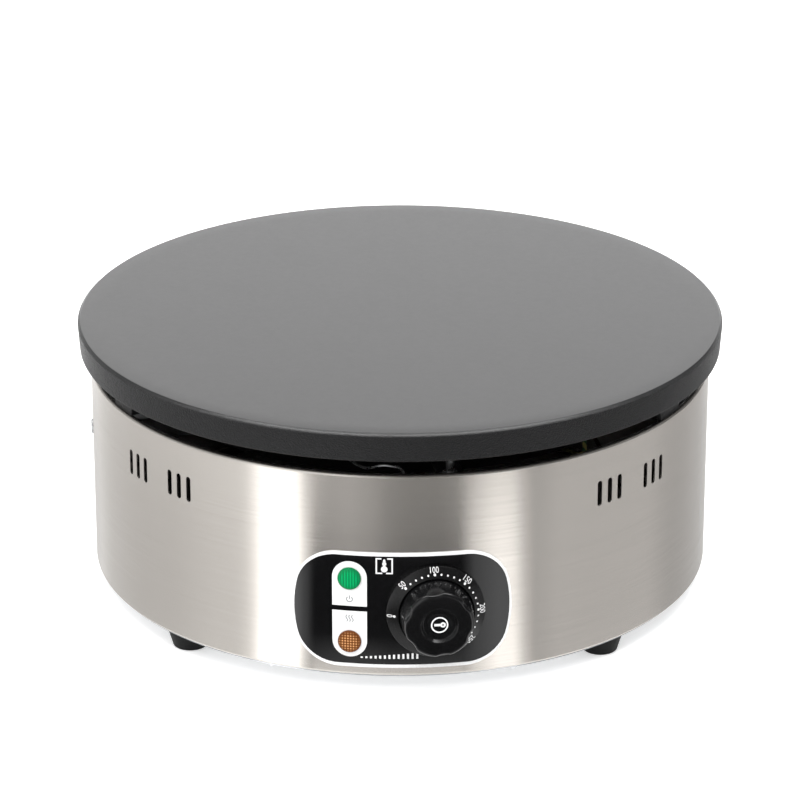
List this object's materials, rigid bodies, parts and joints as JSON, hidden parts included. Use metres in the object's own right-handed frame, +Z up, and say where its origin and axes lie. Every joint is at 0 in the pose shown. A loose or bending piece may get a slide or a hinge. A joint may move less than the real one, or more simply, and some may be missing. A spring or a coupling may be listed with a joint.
{
  "type": "electric crepe maker",
  "caption": "Round cast iron griddle plate on a stainless steel drum with rubber feet, pilot lamps and a turning thermostat knob on a black control panel.",
  "frame": {"origin": "on the standing surface, under the middle of the plate", "axes": "+Z up, square to the cooking surface; the control panel faces -Y; +X is on the right of someone who faces the controls"},
  "size_m": [0.4, 0.43, 0.171],
  "materials": {
    "cast_iron": "seasoned cast iron, satin and finely grained",
    "sheath": "matt grey sheath of a tubular heating element",
    "ceramic": "unglazed white steatite",
    "plated_steel": "zinc plated steel",
    "copper": "dull copper",
    "dark_steel": "black heat-resistant enamel",
    "insulation": "white ceramic fibre",
    "stainless": "stainless steel, brushed round the drum",
    "galvanised": "galvanised sheet, dull grey",
    "foot_rubber": "black rubber",
    "panel_black": "gloss black overlay with a white printed border",
    "green_lens": "clear green plastic, ribbed inside",
    "amber_lens": "clear amber plastic, waffled inside",
    "black_plastic": "matt black plastic",
    "dial_plastic": "satin black plastic with a printed scale",
    "knob_plastic": "gloss black plastic",
    "spring_steel": "bright spring steel",
    "brass": "dull brass",
    "power_wire": "brown glass-braided lead",
    "lamp_wire": "blue glass-braided lead",
    "earth_wire": "green insulation with a yellow stripe"
  },
  "bodies": {
    "housing": {"griddle_plate": "cast_iron", "outer_element": "sheath", "inner_element": "sheath", "element_terminals": "ceramic", "clamp_bars": "plated_steel", "clamp_studs": "plated_steel", "clamp_washers": "plated_steel", "clamp_nuts": "plated_steel", "thermostat_bulb": "copper", "bulb_clip": "spring_steel", "bulb_screws": "plated_steel", "capillary_tube": "plated_steel", "reflector_pan": "dark_steel", "insulation_pad": "insulation", "pan_studs": "plated_steel", "pan_nuts": "plated_steel", "hold_stud": "plated_steel", "hold_nuts": "plated_steel", "hold_washers": "plated_steel", "crossbar": "galvanised", "crossbar_screws": "plated_steel", "crossbar_nuts": "plated_steel", "drum": "stainless", "base_plate": "galvanised", "base_screws": "plated_steel", "feet": "foot_rubber", "foot_screws": "plated_steel", "foot_nuts": "plated_steel", "control_panel": "panel_black", "power_lens": "green_lens", "heat_lens": "amber_lens", "lamp_bodies": "black_plastic", "dial_ring": "dial_plastic", "thermostat_plate": "plated_steel", "thermostat_body": "ceramic", "thermostat_screws": "plated_steel", "terminal_block": "ceramic", "terminal_clamps": "brass", "block_screws": "plated_steel", "gland_seal": "foot_rubber", "gland_body": "black_plastic", "gland_bush": "foot_rubber", "gland_cap": "black_plastic", "gland_locknut": "black_plastic", "power_leads": "power_wire", "lamp_leads": "lamp_wire", "earth_lead": "earth_wire", "earth_screws": "brass"},
    "knob": {"thermostat_spindle": "spring_steel", "knob": "knob_plastic", "knob_cap": "knob_plastic", "knob_clip": "spring_steel"}
  },
  "joints": [
    {"name": "knob_turn", "type": "hinge", "parent": "housing", "child": "knob", "pos_m": [0.02645, -0.19824, 0.056], "axis": [-0.1323, 0.9912, 0], "range_deg": [0, 223.5]}
  ]
}
